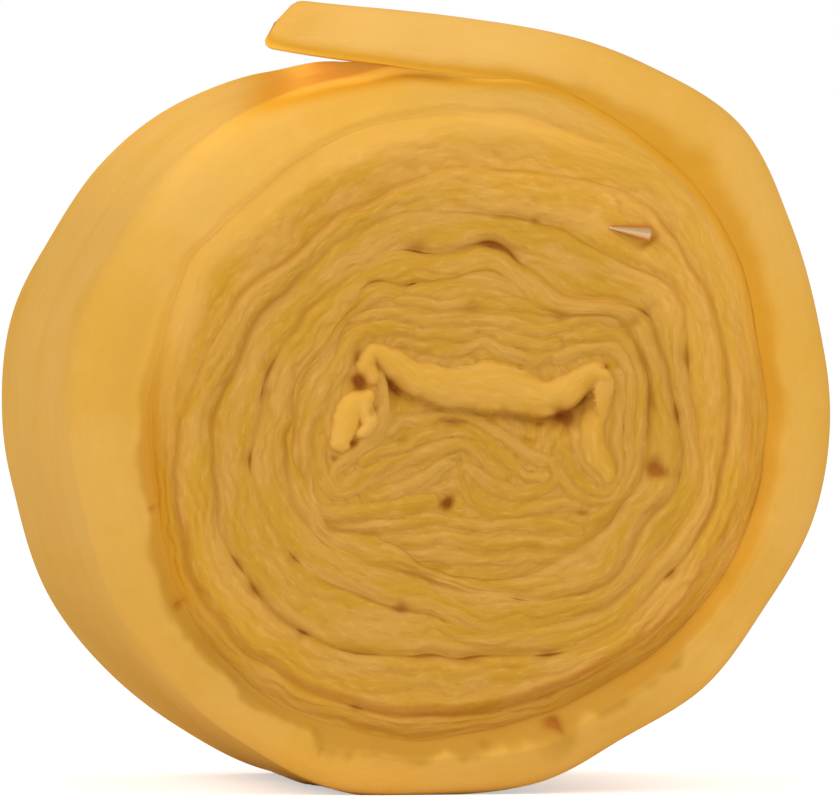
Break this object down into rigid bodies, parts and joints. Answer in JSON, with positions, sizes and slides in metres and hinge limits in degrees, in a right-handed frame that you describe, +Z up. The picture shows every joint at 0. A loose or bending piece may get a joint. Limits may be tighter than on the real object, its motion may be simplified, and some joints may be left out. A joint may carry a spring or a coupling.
{
  "type": "insulation roll",
  "caption": "Roll of yellow glass wool blanket lying on its side, with its free end over the top and its inner end folded flat.",
  "frame": {"origin": "on the floor under the middle of the roll, at the bottom centre of the bounding box", "axes": "+Z up, Y along the roll's axis with the end that shows the metal pin towards -Y, +X to the right seen from that end"},
  "size_m": [0.5082, 0.4, 0.5245],
  "materials": {
    "glass_wool": "matte fibrous",
    "pin_metal": "polished"
  },
  "bodies": {
    "root": {"insulation_blanket": "glass_wool", "metal_pin": "pin_metal"}
  },
  "joints": []
}
